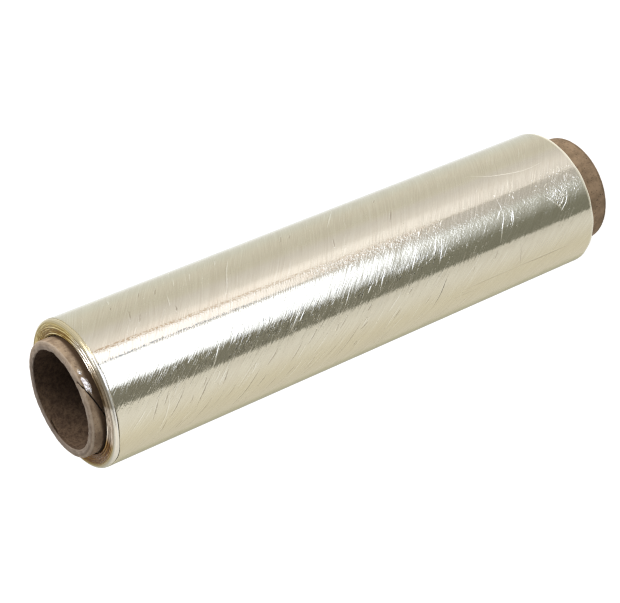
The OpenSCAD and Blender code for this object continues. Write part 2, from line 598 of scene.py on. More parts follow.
    # hairlines on the lower side and a few on the upper one: (points, shade), shade being painted shade (below 0) or
    # painted highlight (above 0)
    hairlines = [
        ([(-132.7, 298.0), (-124.3, 295.9), (-115.2, 292.8)], -1.0),
        ([(-150.2, 294.2), (-141.8, 291.5), (-136.0, 289.6)], -0.7),
        ([(-149.3, 295.9), (-134.3, 290.9), (-124.0, 288.4), (-114.5, 286.6)], 0.8),
        ([(-124.5, 291.5), (-119.3, 289.5), (-113.5, 287.2)], -0.9),
        ([(-137.3, 289.0), (-129.3, 284.9), (-122.0, 281.5), (-115.2, 278.3)], -1.0),
        ([(-151.0, 284.9), (-143.5, 280.5)], -0.6),
        ([(-131.8, 277.2), (-124.3, 274.4)], -0.7),
        ([(-138.5, 274.1), (-128.5, 270.6), (-120.2, 266.7), (-113.5, 262.1)], -1.0),
        ([(-149.3, 273.6), (-140.2, 267.8), (-134.3, 264.5)], -0.7),
        ([(-123.5, 270.0), (-114.0, 265.8)], -0.8),
        ([(-127.7, 258.7), (-122.0, 256.4), (-116.0, 254.0)], -1.1),
        ([(-127.0, 261.4), (-121.0, 258.0), (-115.2, 255.2)], 1.0),
        ([(-156.4, 252.7), (-144.3, 245.8), (-135.2, 241.4), (-124.3, 235.4)], -1.0),
        ([(-130.2, 242.5), (-119.3, 237.6)], 0.9),
        ([(-145.2, 239.2), (-134.3, 232.6)], -1.0),
        ([(-128.5, 233.7), (-121.0, 228.2), (-114.3, 224.2)], -0.9),
        ([(-151.8, 232.6), (-141.0, 226.0)], -0.7),
        ([(-141.8, 256.8), (-131.0, 250.2)], -0.5),
        ([(-152.7, 220.7), (-143.0, 215.4), (-134.3, 210.8)], 1.0),
        ([(-146.0, 221.3), (-137.7, 215.2)], -0.8),
        ([(-134.3, 219.6), (-119.3, 210.8)], -0.8),
        ([(-135.0, 216.0), (-122.0, 208.4)], 0.6),
        ([(-125.2, 208.6), (-114.6, 201.7)], -1.1),
        ([(-151.0, 209.2), (-134.3, 202.0)], -0.5),
        ([(-146.0, 198.2), (-132.7, 188.3)], -0.6),
        ([(-152.7, 191.0), (-141.8, 185.5), (-129.3, 178.4), (-121.8, 173.4)], -0.8),
        ([(-124.3, 191.6), (-116.8, 188.3)], -0.8),
        ([(-123.5, 189.4), (-114.0, 182.4)], -0.7),
        ([(-146.0, 180.0), (-140.2, 177.3)], -1.0),
        ([(-150.2, 179.2), (-138.5, 174.5)], 0.9),
        ([(-131.8, 176.4), (-126.0, 170.7)], -1.0),
        ([(-130.2, 175.6), (-122.7, 171.2)], 0.8),
        ([(-118.5, 171.8), (-113.8, 167.6)], -0.8),
        ([(-145.2, 160.8), (-134.3, 156.9), (-122.7, 149.2)], 0.9),
        ([(-135.2, 155.5), (-126.8, 149.8)], -0.9),
        ([(-119.3, 145.9), (-114.3, 141.5)], -0.7),
        ([(-135.2, 134.9), (-127.7, 130.5)], -0.6),
        ([(-142.7, 129.5), (-131.8, 125.0), (-121.0, 121.2), (-114.3, 117.6)], -1.3),
        ([(-136.8, 111.3), (-136.4, 91.5), (-136.8, 70.0)], -0.55),
        ([(-136.6, 72.0), (-137.2, 53.0), (-137.2, 33.9)], -1.0),
        ([(-141.4, 118.0), (-141.8, 96.0)], -0.35),
        ([(-136.8, 70.3), (-126.0, 69.9), (-116.0, 69.6)], -0.6),
        ([(-121.8, 88.8), (-113.5, 84.6)], -0.7),
        ([(-124.3, 103.0), (-117.7, 100.9)], -0.6),
        ([(-144.3, 111.3), (-139.3, 108.0)], 0.6),
        ([(-65.2, 240.3), (-46.8, 232.6), (-31.0, 224.2)], 0.8),
        ([(-56.0, 290.4), (-45.2, 287.1)], -0.8),
        ([(-61.0, 287.6), (-51.0, 283.2)], -0.7),
        ([(-63.5, 268.0), (-56.8, 265.9)], -1.0),
        ([(-57.7, 269.2), (-44.3, 265.6)], 0.7),
        ([(-38.5, 294.2), (-34.3, 292.6)], -0.9),
        ([(-31.0, 292.0), (-23.5, 290.0)], 0.7),
        ([(-37.7, 278.8), (-29.3, 275.0)], -0.7),
        ([(-41.8, 271.1), (-31.8, 266.7)], -0.7),
        ([(-40.2, 259.8), (-29.3, 255.7)], 0.6),
        ([(-41.0, 251.0), (-29.3, 246.4)], 0.6),
        ([(-35.2, 234.3), (-26.0, 229.9)], 0.6),
        ([(-42.7, 169.8), (-31.0, 162.5), (-19.3, 155.3)], 0.9),
        ([(-63.5, 175.0), (-53.5, 171.8)], -0.8),
        ([(-61.0, 139.3), (-48.5, 132.2)], -0.8),
        ([(-38.5, 196.5), (-28.5, 191.6)], -0.6),
        ([(-37.7, 191.0), (-31.8, 187.7)], -0.6),
        ([(-34.3, 136.0), (-28.5, 132.7)], -0.7),
    ]
    # each named one gets painted highlight over most of the ridge and painted shade on one flank
    for k, (line, w, h) in enumerate(named):
        (faint if h < 0.03 else strips).add(line, w, h, seed=100 + k, shade=0.40)
    for k, (line, shade) in enumerate(hairlines):
        level = abs(line[0][0] - line[-1][0]) < 3
        faint.add(line, 1.7 if level else 1.15, 0.013, seed=300 + k, segment=1.0, shade=0.8 * shade if level else 1.5 * shade)
    rng = np.random.default_rng(7)

    def scatter(to, count, phis, zs, long_, width, height, turn, follow=1.0, shade=(0, 0)):
        done = 0
        while done < count:
            p = rng.uniform(*phis)
            z = rng.uniform(*zs)
            length = rng.uniform(*long_)
            a = -math.atan(follow * float(slope_at(math.radians(p)))) + math.radians(rng.normal(0, turn))
            dp = math.degrees(0.5 * length * math.cos(a) / FILM_RO)
            dz = 0.5 * length * math.sin(a)
            bend = rng.normal(0, 0.06) * length
            pts = [(p - dp, z - dz), (p - math.degrees(bend * math.sin(a) / FILM_RO), z + bend * math.cos(a)), (p + dp, z + dz)]
            zz = [q[1] for q in pts]
            if min(zz) < 20.5 or max(zz) > LAST_Z1 - 1.0:
                continue
            to.add(pts, rng.uniform(*width), rng.uniform(*height), seed=int(rng.integers(1e6)), segment=max(0.5, length / 10), shade=rng.uniform(*shade))
            done += 1

    # the shade of each is painted shade (below 0) or painted highlight (above 0); the third and fourth lay painted dark
    # strokes in the dark band
    scatter(faint, 380, (-180, 180), (24, 312), (5, 20), (0.40, 0.80), (0.006, 0.018), 7, shade=(-0.35, 0.8))
    scatter(faint, 110, (-165, -113), (95, 312), (7, 22), (0.6, 1.3), (0.007, 0.013), 6, shade=(-0.7, 1.3))
    scatter(faint, 110, (-109, -98), (190, 310), (2, 6), (0.30, 0.50), (0.005, 0.012), 7, shade=(-2.9, -1.2))
    scatter(faint, 120, (-105, -93), (120, 250), (2, 6), (0.35, 0.60), (0.006, 0.014), 7, shade=(-3.2, -1.5))
    scatter(faint, 130, (-113, -92), (90, 305), (2, 7), (0.30, 0.50), (0.012, 0.032), 8, shade=(-0.9, 0.3))
    scatter(faint, 90, (-102, -81), (40, 130), (0.7, 1.8), (0.4, 0.8), (0.010, 0.030), 40, 0.6, shade=(-0.7, 0.7))
    # painted reflection: dark stubs along the thin line in the bright part, where the dark bar across the light panel
    # reflects
    for z in rng.uniform(205, 312, 56):
        p = float(np.interp(z, [204, 226, 248, 270, 315], [-79.0, -78.5, -78.0, -77.4, -77.5])) + rng.normal(-0.3, 0.5)
        q, long_ = -rng.uniform(0.3, 1.0), rng.uniform(0.9, 2.6)
        dp = math.degrees(0.5 * long_ * math.cos(q) / FILM_RO)
        faint.add([(p - dp, z - 0.5 * long_ * math.sin(q)), (p, z), (p + dp, z + 0.5 * long_ * math.sin(q))], rng.uniform(0.35, 0.6), 0.020, seed=int(rng.integers(1e6)), segment=0.5, shade=-1.8)
    scatter(strips, 16, (60, 300), (60, 300), (5, 10), (0.6, 0.8), (0.02, 0.04), 6)
    # painted shade and highlight on these crinkles too, from their shade
    scatter(strips, 90, (-82, -73.5), (112, 195), (0.7, 1.7), (0.45, 0.8), (0.02, 0.06), 20, 0.6, shade=(-1.5, 0.5))
    scatter(strips, 70, (-94, -70), (21, 44), (0.7, 1.8), (0.4, 0.7), (0.015, 0.045), 24, 0.40, shade=(-1.2, 0.5))
    # painted shade: dark strips in the hollows of the small fold
    for k, (p, z, long_, w) in enumerate([(-96.2, 36.6, 1.5, 1.0), (-98.2, 34.4, 1.6, 0.6), (-95.4, 33.3, 1.8, 0.7), (-90.4, 32.4, 1.7, 0.7), (-93.0, 41.0, 1.6, 0.5), (-86.2, 34.3, 1.0, 0.7), (-99.4, 36.6, 1.2, 0.5), (-89.0, 37.6, 1.4, 0.5), (-92.0, 28.4, 1.4, 0.6), (-83.2, 28.6, 1.2, 0.7), (-86.0, 26.4, 1.2, 0.6)]):
        dp, dz = math.degrees(0.5 * long_ * 0.75 / FILM_RO), -0.5 * long_ * 0.62
        strips.add([(p - dp, z - dz), (p, z), (p + dp, z + dz)], w, 0.020, seed=900 + k, segment=0.4, shade=-3.2)
    # the crumpled inside of the small fold, its crinkles mostly in painted shade, some with painted highlight
    for _ in range(46):
        a, b = math.sqrt(rng.uniform(0.02, 1)), rng.uniform(-1, 1)
        p, z = -103.0 + 17.0 * a, 38.4 + 6.6 * a * b
        q = rng.choice([-1, 1]) * math.radians(32) + math.radians(rng.normal(0, 22))
        long_ = rng.uniform(1.1, 2.7)
        dp, dz = math.degrees(0.5 * long_ * math.cos(q) / FILM_RO), 0.5 * long_ * math.sin(q)
        strips.add([(p - dp, z - dz), (p, z + rng.normal(0, 0.05)), (p + dp, z + dz)], rng.uniform(0.5, 0.85), rng.uniform(0.02, 0.055), seed=int(rng.integers(1e6)), segment=0.5, shade=rng.uniform(-2.2, 0.5))
    scatter(strips, 24, (30, 90), (40, 110), (2.5, 7.0), (0.5, 0.8), (0.012, 0.03), 14)
    return strips.finish("film_tucks"), faint.finish("film_faint_tucks")


tuck_piece, faint_piece = tucks()


# ---------------------------------------------------------------- the winding: end faces and shoulder
def winding():
    n = 560
    base = np.arange(n) * TAU / n
    # valley holds painted shade: in the hollows between the ridges, in the groove where the last turns stop, and near
    # black down the gap at the core
    rows, valley, lip = [], [], []

    def add(r, z, v=0.0, l=0.0):
        rows.append(ring(base, r, z))
        valley.append(np.broadcast_to(v, base.shape) + 0.0)
        lip.append(np.broadcast_to(l, base.shape) + 0.0)

    shoulder_r, shoulder_z = 2.2, 1.6
    lip_r = FILM_RO - 0.12
    face_ro = lip_r - shoulder_r
    ridges = 6
    wob = [0.14 * ring_noise(31 + k, base, 1, 5) for k in range(ridges)]
    amp = [0.36 + 0.13 * ring_noise(41 + k, base, 1, 6) for k in range(ridges)]
    tilt = low_edge(base)
    front = step(math.radians(26), math.radians(4), np.abs(wrap(base - math.radians(-118))) - math.radians(22))
    back = step(0, 0.5, np.sin(base - 0.4))
    gap = 0.10 + 0.24 * front * step(math.radians(-128), math.radians(-110), wrap(base)) + 0.15 * back      # how far the film's inner turns stand off the core
    plain = step(math.radians(36), math.radians(29), np.abs(wrap(base - math.radians(-142))))
    # line_ also sets the painted shade in the groove at the last turns
    line_ = np.clip(0.24 + plain + 0.5 * back, 0, 1)   # how plain the step at the last turns is

    calm = 1 - 0.40 * bell(wrap(base - math.radians(-105)), math.radians(35))

    def face_height(r):
        """Ridges of uneven turns. r may change round the ring."""
        h = np.zeros_like(base)
        for k in range(ridges):
            rk = CORE_RO + 1.15 + k * (face_ro - CORE_RO - 0.4) / (ridges - 1) + wob[k]
            d = r - rk
            # steeper outside than inside
            h = h + calm * np.clip(amp[k], 0.06, 0.7) * np.where(d > 0, bell(d, 0.26), bell(d, 0.50))
        h = h + 0.03 * ring_noise(61, base + 0.3 * r, 8, 40) * step(CORE_RO, CORE_RO + 1, r)
        return h - (0.8 + 0.6 * front) * bell(np.maximum(r - CORE_RO - gap, 0), 0.20) - 0.38

    # painted shade for the hollows between the ridges, stronger on the front side
    def shade(h):
        return np.clip(-h / 0.45, 0, 3) * (0.45 + 0.55 * front)

    # lower end first, from the core outwards
    zl = FILM_Z0
    add(CORE_RO + 0.02, zl + 2.6 + tilt, 3)
    for r in np.linspace(CORE_RO + 0.05, FILM_RO - 1.0, 36):
        h = face_height(r)
        add(r, zl - 0.5 * h + tilt, shade(h))
    for a in np.linspace(0, 90, 6)[1:]:
        a = math.radians(a)
        add(FILM_RO - 1.0 + 0.45 * math.sin(a), zl + 0.20 + 0.45 * (1 - math.cos(a)) + tilt, 0.3)
    add(FILM_RO - 0.55, zl + 3.0 + tilt)
    deep = FILM_RO - 0.16 - 0.24 * line_
    drop = edge_drop(base)
    add(deep, LAST_Z1 - 1.2 - drop, line_, 1)
    # a narrow groove where the last turns stop, with painted shade in it, then lip and shoulder
    add(deep, LAST_Z1 + 0.02 - drop, line_, 1)
    z_wave = 0.10 * ring_noise(51, base, 2, 9)
    add(lip_r - 0.08, LAST_Z1 + 0.28 - drop, 0.7 * line_, 1)
    for u in np.linspace(0, 1, 4, endpoint=False):
        add(lip_r, (LAST_Z1 + 0.38 - drop) * (1 - u) + (FILM_Z1 - shoulder_z) * u, 0, 1)
    for a in np.linspace(0, 90, 26):
        t = a / 90
        a = math.radians(a)
        r = face_ro + shoulder_r * math.cos(a)
        z = FILM_Z1 - shoulder_z + shoulder_z * math.sin(a)
        line = 0.05 * math.sin(6.4 * math.pi * t) * (0.7 + 0.3 * ring_noise(52, base, 1, 6))
        h = face_height(r) * step(0.55, 1.0, t)
        add(r + line * math.cos(a), z + line * math.sin(a) + z_wave * t + h, shade(h) * step(0.5, 1.0, t) + np.clip(-line * 9, 0, 0.6), 1 - step(0.45, 0.95, t))
    for r in np.linspace(face_ro - 0.06, CORE_RO + 0.05, 84):
        h = face_height(r)
        add(r, FILM_Z1 + z_wave + h, shade(h))
    add(CORE_RO + 0.02, FILM_Z1 - 3.2, 3)
    return loop_mesh("film_winding", np.array(rows), {"valley": np.array(valley), "lip": np.array(lip)})


wind = winding()


# ---------------------------------------------------------------- the core
SEAM_LEAD = 71.2                       # mm along the core for one turn of the ply
SEAM_PHI, SEAM_Z = math.radians(-83.3), 324.64


def seam_angle(z):
    return SEAM_PHI - (SEAM_Z - z) * TAU / SEAM_LEAD


def core():
    # points round: even, with a cluster at the outer seam, which is where base is 0
    even = np.linspace(0, TAU, 330, endpoint=False)
    near = np.array([0.08, 0.24, 0.42, 0.62, 0.84, 1.08, 1.36, 1.7, 2.1, 2.6])
    near = np.concatenate([-near[::-1], near]) / CORE_RO
    base = even[np.abs(wrap(even)) > 3.0 / CORE_RO]
    base = np.sort(np.concatenate([base, near % TAU]))
    rows, dark, cut = [], [], []
    f1, f2 = Field(61, 0.25, 0.6), Field(62, 0.7, 0.5)
    t1, t0 = seam_angle(CORE_Z1), seam_angle(0)
    side = wrap(base)                   # signed angle from the seam

    def add(r, z, turned, d=0.0, c=0.0):
        phi = base + turned
        rows.append(ring(phi, r, z))
        dark.append(np.broadcast_to(d, phi.shape) + 0.0)
        cut.append(np.broadcast_to(c, phi.shape) + 0.0)

    def rough(phi, z, a=0.035, b=0.02):
        return a * f1(phi * 37.5, z) + b * f2(phi * 37.5, z)

    def outer_r(z):
        phi = base + seam_angle(z)
        lift = 0.16 * np.where(side > 0, np.exp(-side * CORE_RO / 3.5), 0)
        return CORE_RO - 0.9 * bell(side * CORE_RO - 0.1, 0.75) + lift - 0.03 + rough(phi, z)

    def outer_dark(z):
        return 2.6 * bell(side * CORE_RO - 0.1, 0.78)

    def inner(z):
        """Radius and darkness of the bore, with a short open slit in its lining."""
        p = wrap(base + t1)
        along = (p - math.radians(114.5)) * CORE_RI
        line = 323.1 + 0.07 * along
        on = bell(z - line, 0.26) * step(4.4, 3.2, np.abs(along))
        return CORE_RI + 1.0 * on + rough(base + t1, z, 0.03, 0.02), 1.5 * on

    # up the bore
    zs = np.concatenate([np.linspace(0.7, 12, 10, endpoint=False), np.linspace(12, 290, 50, endpoint=False), np.linspace(290, 318, 40, endpoint=False), np.linspace(318, 324.2, 24)])
    for z in zs:
        r, d = inner(z)
        add(r, z, t1, d)
    # upper cut face: a soft rim on both sides, with a nick in the bore's edge
    p = wrap(base + t1)
    nick = 0.9 * bell((p - math.radians(-34)) * CORE_RI, 1.3) + 0.5 * bell((p - math.radians(-28.5)) * CORE_RI, 0.5)
    wv = 0.10 * ring_noise(71, p, 2, 9) + 0.05 * ring_noise(72, p, 12, 40)
    edge_in = 0.14 * ring_noise(73, p, 6, 60)
    ri = inner(324.2)[0]
    split = bell(side * CORE_RO - 0.1, 0.60)
    for a in np.linspace(20, 90, 5):
        a = math.radians(a)
        add(ri + nick * math.sin(a) + 0.30 * (1 - math.cos(a)) + edge_in * math.sin(a), 324.2 + 0.50 * math.sin(a) + wv * math.sin(a), t1, 0, 0.6 + 0.4 * math.sin(a))
    ro = outer_r(323.6)
    for u in np.linspace(0.04, 0.90, 16):
        ply = 0.05 * math.sin(u * 7 * TAU) + 0.03 * math.sin(u * 17)
        h = rough(base + t1, 200 + 60 * u, 0.0, 0.05)
        drop = 0.45 * step(0.45, 1.0, u) ** 1.3
        opening = 0.25 * split * step(0.6, 0.9, u)
        add((ri + 0.30 + nick) * (1 - u) + (ro - 0.80) * u, CORE_Z1 - 0.22 + wv + ply + h - drop + 0.10 * math.sin(math.pi * u) - opening, t1, 1.7 * split * step(0.62, 0.95, u), 1 - 0.6 * step(0.45, 1.0, u))
    for a in np.linspace(25, 90, 6):
        a = math.radians(a)
        add(ro - 0.85 + 0.85 * math.sin(a), 323.5 + 0.95 * math.cos(a) + wv * math.cos(a) - 0.3 * split, t1 + (seam_angle(323.6) - t1) * math.sin(a), 1.6 * split, 0.5 * math.cos(a))
    # down the outside, above the film
    for z in np.linspace(323.4, 316.0, 30):
        # painted shade on the core next to the film, reaching higher on the side towards -Y
        reach = 1.0 + 3.8 * bell(wrap(base + seam_angle(z) - math.radians(-90)), math.radians(48))
        add(outer_r(z), z, seam_angle(z), np.maximum(outer_dark(z), step(318.0 + reach, 318.0 + 0.35 * reach, z)))
    # under the film, out of sight
    hidden = len(rows)
    add(CORE_RO - 0.25, 312.0, seam_angle(316.0))
    add(CORE_RO - 0.25, 24.0, seam_angle(22.0))
    # painted shade: the last two mm of the outside at the lower edge are darker
    for z in np.linspace(21.5, 0.8, 44):
        add(outer_r(z), z, seam_angle(z), outer_dark(z) + 0.55 * step(1.8, 0.8, z))
    # lower cut face
    wv = 0.06 * ring_noise(75, base + t0, 2, 9)
    ro = outer_r(0.8)
    for a in np.linspace(90, 15, 5):
        a = math.radians(a)
        add(ro - 0.45 + 0.45 * math.sin(a), 0.50 - 0.42 * math.cos(a), t0, 1.0 * split, 0.4)
    ri = CORE_RI + rough(base + t0, 0.7, 0.03, 0.02)
    for u in np.linspace(0.96, 0.04, 12):
        ply = 0.03 * math.sin(u * 7 * TAU)
        h = rough(base + t0, 100 + 60 * u, 0.0, 0.03)
        add((ri + 0.25) * (1 - u) + (ro - 0.40) * u, 0.10 + ply + h + wv * 0.3, t0, 1.0 * split * step(0.4, 0.8, u), 1)
    for a in np.linspace(90, 20, 4):
        a = math.radians(a)
        add(ri + 0.25 * (1 - math.cos(a)), 0.50 - 0.35 * math.sin(a), t0, 0, 0.6)
    return loop_mesh("core_board_tube", np.array(rows), {"dark": np.array(dark), "cut": np.array(cut)}, loose={hidden})


tube = core()


# ---------------------------------------------------------------- a torn scrap of film stuck on the core's end
def scrap():
    """Thin crumpled patch on the bare upper end of the core."""
    nu, nv = 26, 14
    u, v = np.meshgrid(np.linspace(0, 1, nu), np.linspace(-1, 1, nv), indexing="ij")
    mid = np.radians(-78.6 - 16.6 * u)
    width = 3.0 * np.sin(math.pi * np.clip(u, 0.03, 0.97)) ** 0.5 * (1 + 0.25 * np.sin(9 * u + 1))
    z = 322.0 - 0.75 * u + v * width * (0.5 + 0.15 * np.sin(5 * u))
    phi = mid + 0.03 * v * np.sin(7 * u)
    rng = np.random.default_rng(81)
    h = 0.20 + 0.10 * np.sin(11 * u + 3 * v) + 0.08 * np.sin(17 * v + 6 * u + 1) + 0.03 * rng.standard_normal(u.shape)
    h = h * (1 - 0.75 * v**4)
    top = ring_grid(phi, CORE_RO + h, z)
    # a small curled bit next to it
    a, b = np.meshgrid(np.linspace(0, 1, nu), np.linspace(-1, 1, nv), indexing="ij")
    w2 = 1.15 * np.sin(math.pi * np.clip(a, 0.03, 0.97)) ** 0.5
    phi2 = np.radians(-70.4 - 5.8 * a) + 0.002 * b
    z2 = 321.9 + b * w2 * 0.9 + 0.25 * a
    h2 = (0.50 - 0.45 * b**2) * np.sin(math.pi * np.clip(a, 0.05, 0.95)) + 0.05 * np.sin(14 * a + 4 * b)
    curl = ring_grid(phi2, CORE_RO + 0.02 + h2, z2)
    points, faces = [], []
    for g, p, zz in ((top, phi, z), (curl, phi2, z2)):
        low = ring_grid(p, CORE_RO - 0.25 + 0 * p, zz)
        base = sum(len(q) for q in points)
        k = nu * nv
        points += [g.reshape(-1, 3), low.reshape(-1, 3)]
        idx = base + np.arange(k).reshape(nu, nv)
        a, b, c, d = idx[:-1, :-1], idx[1:, :-1], idx[1:, 1:], idx[:-1, 1:]
        faces.append(np.stack([a, d, c, b], 2).reshape(-1, 4))
        faces.append(np.stack([a + k, b + k, c + k, d + k], 2).reshape(-1, 4))
        rim = np.concatenate([idx[:, 0], idx[-1, 1:], idx[-2::-1, -1], idx[0, -2:0:-1]])
        nxt = np.roll(rim, -1)
        faces.append(np.stack([rim, nxt, nxt + k, rim + k], 1)[:, ::-1])
    return grid_object("film_scrap", np.concatenate(points), np.concatenate(faces))


def ring_grid(phi, r, z):
    return np.stack([r * np.cos(phi), r * np.sin(phi), z + 0 * phi], 2)


scrap_piece = scrap()


# ---------------------------------------------------------------- materials
def film_material(name, part="wall"):
    mat, n, shader = material(name)
    at = n.new("ShaderNodeTexCoord").outputs["Object"]
    x, y, z = n.split(at)

    def leaning(times):
        """Coordinates turned with height, so that streaks along Z there are wrinkles on the roll."""
        bend = n.mul(n.add(n.mul(y, math.cos(math.radians(150))), n.mul(x, math.sin(math.radians(150)))), BEND)
        rot = n.new("ShaderNodeVectorRotate", rotation_type="Z_AXIS")
        n.put(rot.inputs["Vector"], at)
        n.put(rot.inputs["Angle"], n.mul(n.add(z, bend), times * 1000 / (FILM_RO * SLOPE)))
        return rot.outputs[0]

    lean, steep = leaning(1.0), leaning(0.80)
    cloud = n.noise(n.scaled(at, (45, 45, 45)), 1.0, 3.0, 0.5)
    choose = n.ramp(n.noise(n.scaled(at, (70, 70, 55)), 1.0, 1.0, 0.5), 0.42, 0.58)

    def both(xy, along, detail, rough):
        a = n.noise(n.scaled(lean, (xy, xy, along)), 1.0, detail, rough)
        b = n.noise(n.scaled(steep, (xy, xy, 1.3 * along)), 1.0, detail, rough)
        return n.add(n.mul(a, n.sub(1.0, choose)), n.mul(b, choose))

    streak = both(1050, 55, 1.5, 0.5)
    hair = both(1200, 60, 1.0, 0.5)
    lines = n.sub(n.ramp(hair, 0.61, 0.67), n.mul(n.ramp(hair, 0.39, 0.33), 0.8))
    broad = n.noise(n.scaled(lean, (170, 170, 22)), 1.0, 2.0, 0.5)
    grain = n.noise(n.scaled(at, (900, 900, 800)), 1.0, 2.0, 0.6)
    tone = n.math("MULTIPLY_ADD", streak, 0.75, n.mul(broad, 0.25))
    col = n.mix(n.ramp(tone, 0.36, 0.64), (0.680, 0.624, 0.454), (0.730, 0.681, 0.500))
    col = n.mix(n.ramp(hair, 0.61, 0.69, 0.0, 0.36), col, (0.58, 0.52, 0.37))
    col = n.mix(n.ramp(hair, 0.39, 0.31, 0.0, 0.34), col, (0.83, 0.79, 0.62))
    col = n.mix(n.ramp(cloud, 0.35, 0.75, 0.0, 0.3), col, (0.70, 0.66, 0.49))
    metal = 0.73
    if part == "ends":
        valley, lip = n.attribute("valley"), n.attribute("lip")
        rad = n.math("SQRT", n.add(n.mul(x, x), n.mul(y, y)))
        rings_ = n.noise(n.scaled(n.joined(rad, z), (2600, 1, 300)), 1.0, 2.0, 0.6)
        patchy = n.noise(n.scaled(at, (90, 90, 90)), 1.0, 3.0, 0.6)
        up = n.math("ABSOLUTE", n.split(n.new("ShaderNodeNewGeometry").outputs["Normal"])[2])
        gold = n.mix(n.ramp(rings_, 0.3, 0.7), (0.25, 0.145, 0.027), (0.45, 0.30, 0.082))
        gold = n.mix(n.ramp(patchy, 0.40, 0.70, 0.0, 0.6), gold, (0.24, 0.125, 0.030))
        # paler towards the rim; painted shade: browner on the side away from the light, inside the rim
        gold = n.mix(n.ramp(rad, 0.0330, 0.0360), gold, (0.62, 0.50, 0.215))
        gold = n.mix(n.mul(n.ramp(x, -0.004, -0.026), n.ramp(rad, 0.0362, 0.0340)), gold, (0.19, 0.076, 0.008))
        # painted light and shade: the side towards the front is painted pale pinkish grey, the side towards the right a
        # darker grey
        near_ = n.math("DIVIDE", n.add(n.mul(x, -0.545), n.mul(y, -0.839)), rad)
        near_ = n.ramp(near_, 0.89, 0.975)
        right_ = n.math("DIVIDE", n.add(n.mul(x, 0.087), n.mul(y, -0.996)), rad)
        right_ = n.ramp(right_, 0.70, 0.88)
        stripe = n.ramp(rings_, 0.32, 0.66)
        # painted light and shade on the ridge flanks: much paler than the ridge tops, darker on the side away from the
        # light, pinkish grey towards the right and front
        flank = n.mix(stripe, (0.58, 0.435, 0.150), (1.0, 0.88, 0.50))
        flank = n.mix(n.ramp(x, 0.008, -0.026), flank, n.mix(stripe, (0.29, 0.145, 0.028), (0.54, 0.355, 0.140)))
        flank = n.mix(right_, flank, n.mix(stripe, (0.44, 0.36, 0.25), (0.88, 0.82, 0.70)))
        flank = n.mix(near_, flank, n.mix(stripe, (0.66, 0.57, 0.46), (0.96, 0.89, 0.78)))
        gold = n.mix(n.mul(right_, 0.8), gold, (0.34, 0.28, 0.20))
        gold = n.mix(n.mul(near_, 0.8), gold, (0.74, 0.64, 0.52))
        # painted shade, with a painted reflection of the dark core: browner between the bright creases and that side,
        # most so by the core
        shaded_side_ = n.math("DIVIDE", n.add(n.mul(x, -0.087), n.mul(y, -0.996)), rad)
        shaded_side_ = n.ramp(shaded_side_, 0.9537, 0.9724)
        inmost = n.ramp(rad, 0.0336, 0.0312)
        flank = n.mix(shaded_side_, flank, n.mix(stripe, (0.30, 0.225, 0.140), (0.60, 0.51, 0.37)))
        flank = n.mix(n.mul(shaded_side_, inmost), flank, n.mix(stripe, (0.17, 0.110, 0.052), (0.34, 0.25, 0.145)))
        gold = n.mix(shaded_side_, gold, n.mix(inmost, (0.25, 0.195, 0.125), (0.15, 0.105, 0.055)))
        face = n.mix(n.ramp(up, 0.70, 0.96), flank, gold)
        # painted shade: darker in the hollows between the ridges, less so on the side towards the front, and near black
        # in the gap at the core
        face = n.mix(n.mul(n.ramp(valley, 0.3, 1.0), n.ramp(near_, 0.0, 1.0, 0.75, 0.15)), face, (0.13, 0.070, 0.022))
        face = n.mix(n.ramp(valley, 1.2, 2.2), face, (0.010, 0.006, 0.003))
        edge_ = n.mix(rings_, (0.58, 0.50, 0.31), (0.70, 0.62, 0.41))
        # painted light and shade on the lip: darker on the +X side, paler elsewhere, darker again by the rim on the
        # shaded side
        edge_ = n.mix(n.ramp(x, 0.0178, 0.0128), edge_, n.mix(rings_, (0.84, 0.79, 0.66), (0.96, 0.93, 0.82)))
        edge_ = n.mix(n.mul(shaded_side_, n.ramp(rad, 0.03735, 0.0371)), edge_, (0.36, 0.315, 0.235))
        col = n.mix(lip, face, edge_)
        # painted shade in the groove where the last turns stop
        col = n.mix(n.mul(lip, n.ramp(valley, 0.1, 1.0, 0.0, 0.9)), col, (0.15, 0.12, 0.075))
        n.put(shader.inputs["Metallic"], n.add(n.mul(lip, 0.05), 0.50))
        shader.inputs["Specular IOR Level"].default_value = 0.15
    elif part == "scrap":
        col = n.mix(n.ramp(grain, 0.35, 0.65), (0.34, 0.27, 0.20), (0.86, 0.79, 0.66))
        shader.inputs["Metallic"].default_value = 0.6
    elif part == "tucks":
        # the tucks are paler than the wall, with painted shade and painted highlight from their shade: dark in hollows
        # and on one flank, near black in the deepest hollows, pale on the lit flanks
        col = n.mix(0.5, col, (0.88, 0.83, 0.66))
        shade = n.attribute("shade")
        col = n.mix(n.ramp(shade, 0.0, -1.6), col, (0.30, 0.26, 0.18))
        col = n.mix(n.ramp(shade, -1.6, -3.0), col, (0.055, 0.050, 0.030))
        col = n.mix(n.ramp(shade, 0.0, 0.9), col, (0.95, 0.92, 0.77))
        shader.inputs["Metallic"].default_value = 0.55
    elif part == "faint":
        # painted shade and painted highlight from the shade of each faint ridge: darker and paler lines side by side,
        # darkest for the strokes in the dark band
        shade = n.attribute("shade")
        col = n.mix(n.ramp(shade, 0.0, -1.0, smooth=False), col, (0.50, 0.445, 0.315))
        col = n.mix(n.ramp(shade, -1.0, -2.4), col, (0.14, 0.135, 0.105))
        col = n.mix(n.ramp(shade, 0.0, 1.0, smooth=False), col, (0.84, 0.80, 0.63))
        shader.inputs["Metallic"].default_value = 0.70
    else:
